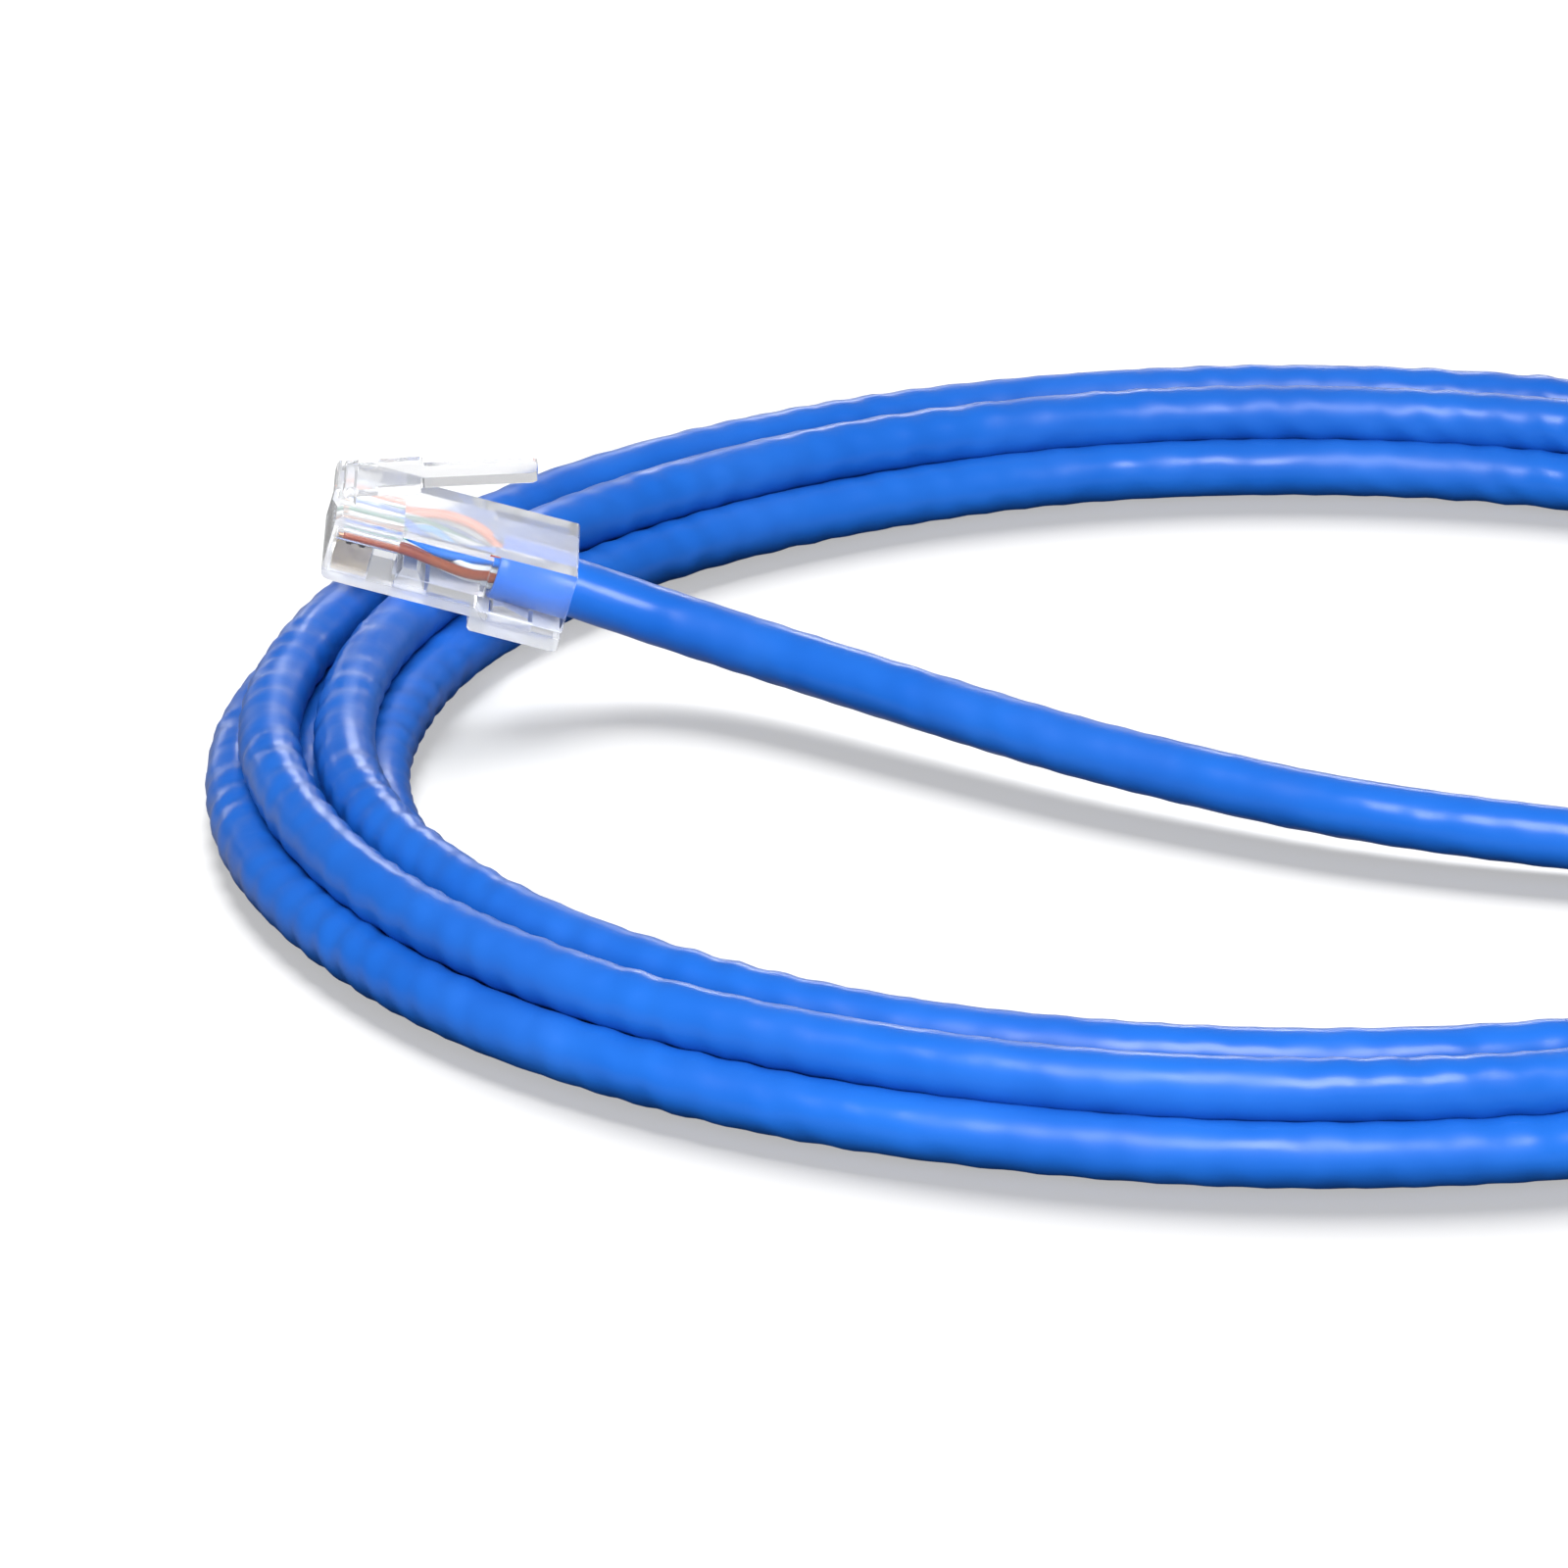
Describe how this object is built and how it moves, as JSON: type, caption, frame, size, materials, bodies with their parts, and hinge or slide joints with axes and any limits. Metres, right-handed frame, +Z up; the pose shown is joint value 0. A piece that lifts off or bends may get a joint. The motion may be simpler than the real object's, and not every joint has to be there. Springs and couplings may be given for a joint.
{
  "type": "ethernet patch cable",
  "caption": "Coiled round four-pair network patch cable with a clear modular plug and flexing latch on each end.",
  "frame": {"origin": "centre of the coil, on the surface that it lies on", "axes": "+Z up along the coil's axis; the nose of plug A points out over the coil towards -X; plug B lies on the coil at +X"},
  "size_m": [0.1984, 0.1984, 0.0254],
  "materials": {
    "jacket": "semi-gloss blue PVC jacket, slightly uneven over the twisted pairs",
    "clear_plastic": "clear moulded polycarbonate, polished",
    "gold_plate": "thin bright gold plating on contact blades",
    "copper": "bare solid copper, cut end",
    "wire_white_orange": "white insulation with an orange stripe",
    "wire_orange": "orange insulation",
    "wire_white_green": "white insulation with a green stripe",
    "wire_blue": "blue insulation",
    "wire_white_blue": "white insulation with a blue stripe",
    "wire_green": "green insulation",
    "wire_white_brown": "white insulation with a brown stripe",
    "wire_brown": "brown insulation"
  },
  "bodies": {
    "cable": {"cable_coil": "jacket", "cable_lead_a": "jacket", "cable_lead_b": "jacket", "plug_a_housing": "clear_plastic", "plug_a_contacts": "gold_plate", "plug_a_jacket_clamp": "clear_plastic", "plug_a_conductor_bar": "clear_plastic", "plug_a_cores": "copper", "plug_a_wire_1": "wire_white_orange", "plug_a_wire_2": "wire_orange", "plug_a_wire_3": "wire_white_green", "plug_a_wire_4": "wire_blue", "plug_a_wire_5": "wire_white_blue", "plug_a_wire_6": "wire_green", "plug_a_wire_7": "wire_white_brown", "plug_a_wire_8": "wire_brown", "plug_b_housing": "clear_plastic", "plug_b_contacts": "gold_plate", "plug_b_jacket_clamp": "clear_plastic", "plug_b_conductor_bar": "clear_plastic", "plug_b_cores": "copper", "plug_b_wire_1": "wire_white_orange", "plug_b_wire_2": "wire_orange", "plug_b_wire_3": "wire_white_green", "plug_b_wire_4": "wire_blue", "plug_b_wire_5": "wire_white_blue", "plug_b_wire_6": "wire_green", "plug_b_wire_7": "wire_white_brown", "plug_b_wire_8": "wire_brown"},
    "plug_a_latch": {"plug_a_latch": "clear_plastic"},
    "plug_b_latch": {"plug_b_latch": "clear_plastic"}
  },
  "joints": [
    {"name": "plug_a_latch_flex", "type": "hinge", "parent": "cable", "child": "plug_a_latch", "pos_m": [-0.08695, 0.02886, 0.02073], "axis": [0.0061, 0.9941, 0.1085], "range_deg": [0, 15], "stiffness_Nm_per_rad": 0.15},
    {"name": "plug_b_latch_flex", "type": "hinge", "parent": "cable", "child": "plug_b_latch", "pos_m": [0.0902, 0.0134, 0.01925], "axis": [1, 0, 0], "range_deg": [0, 15], "stiffness_Nm_per_rad": 0.15}
  ]
}
